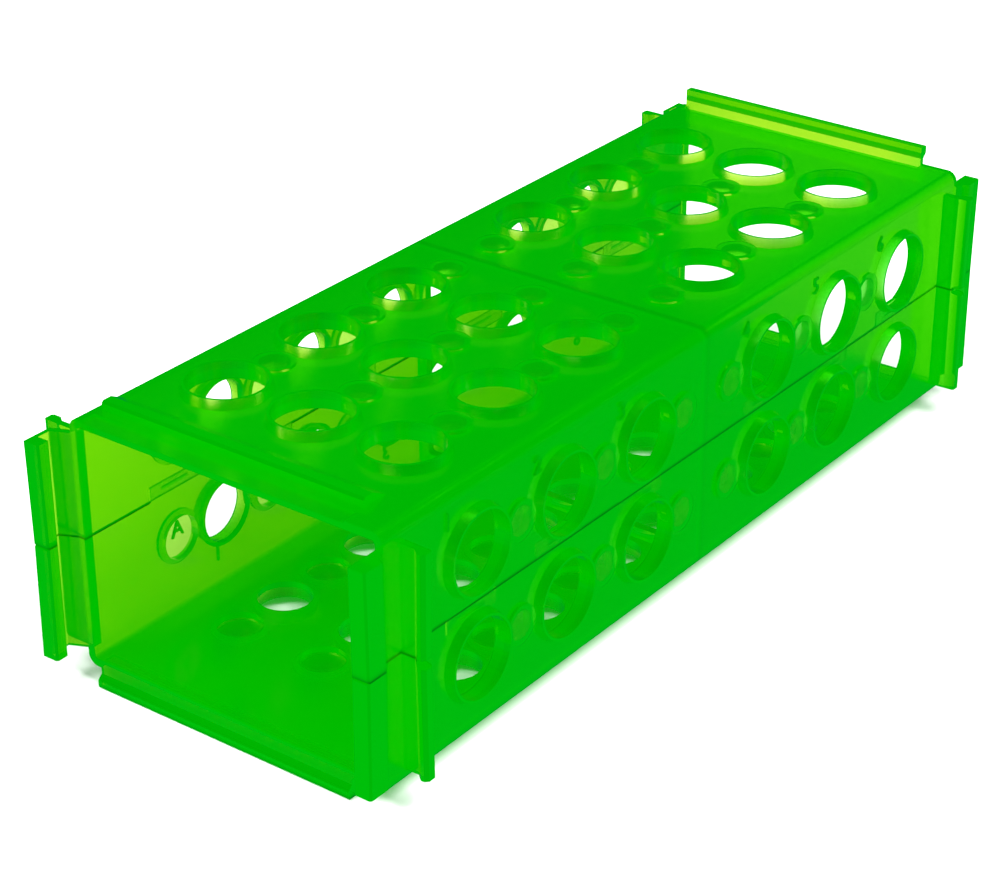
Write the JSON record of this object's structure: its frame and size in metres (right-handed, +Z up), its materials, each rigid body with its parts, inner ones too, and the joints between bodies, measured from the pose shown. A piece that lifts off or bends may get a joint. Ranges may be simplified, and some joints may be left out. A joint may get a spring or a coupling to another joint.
{
  "type": "four-way tube rack",
  "caption": "Open-ended rectangular laboratory rack of translucent plastic with collared tube holes of a different size in each long face and sliding rails at both ends.",
  "frame": {"origin": "centre of the footprint at the lowest point of the rack", "axes": "+X along the rack, +Z up through the face with the three rows of wide holes, -Y out of the side wall with the wide holes"},
  "size_m": [0.2252, 0.0919, 0.064],
  "materials": {
    "upper_half": "gloss, translucent",
    "lower_half": "gloss, translucent"
  },
  "bodies": {
    "root": {"upper_half": "upper_half", "lower_half": "lower_half"}
  },
  "joints": []
}
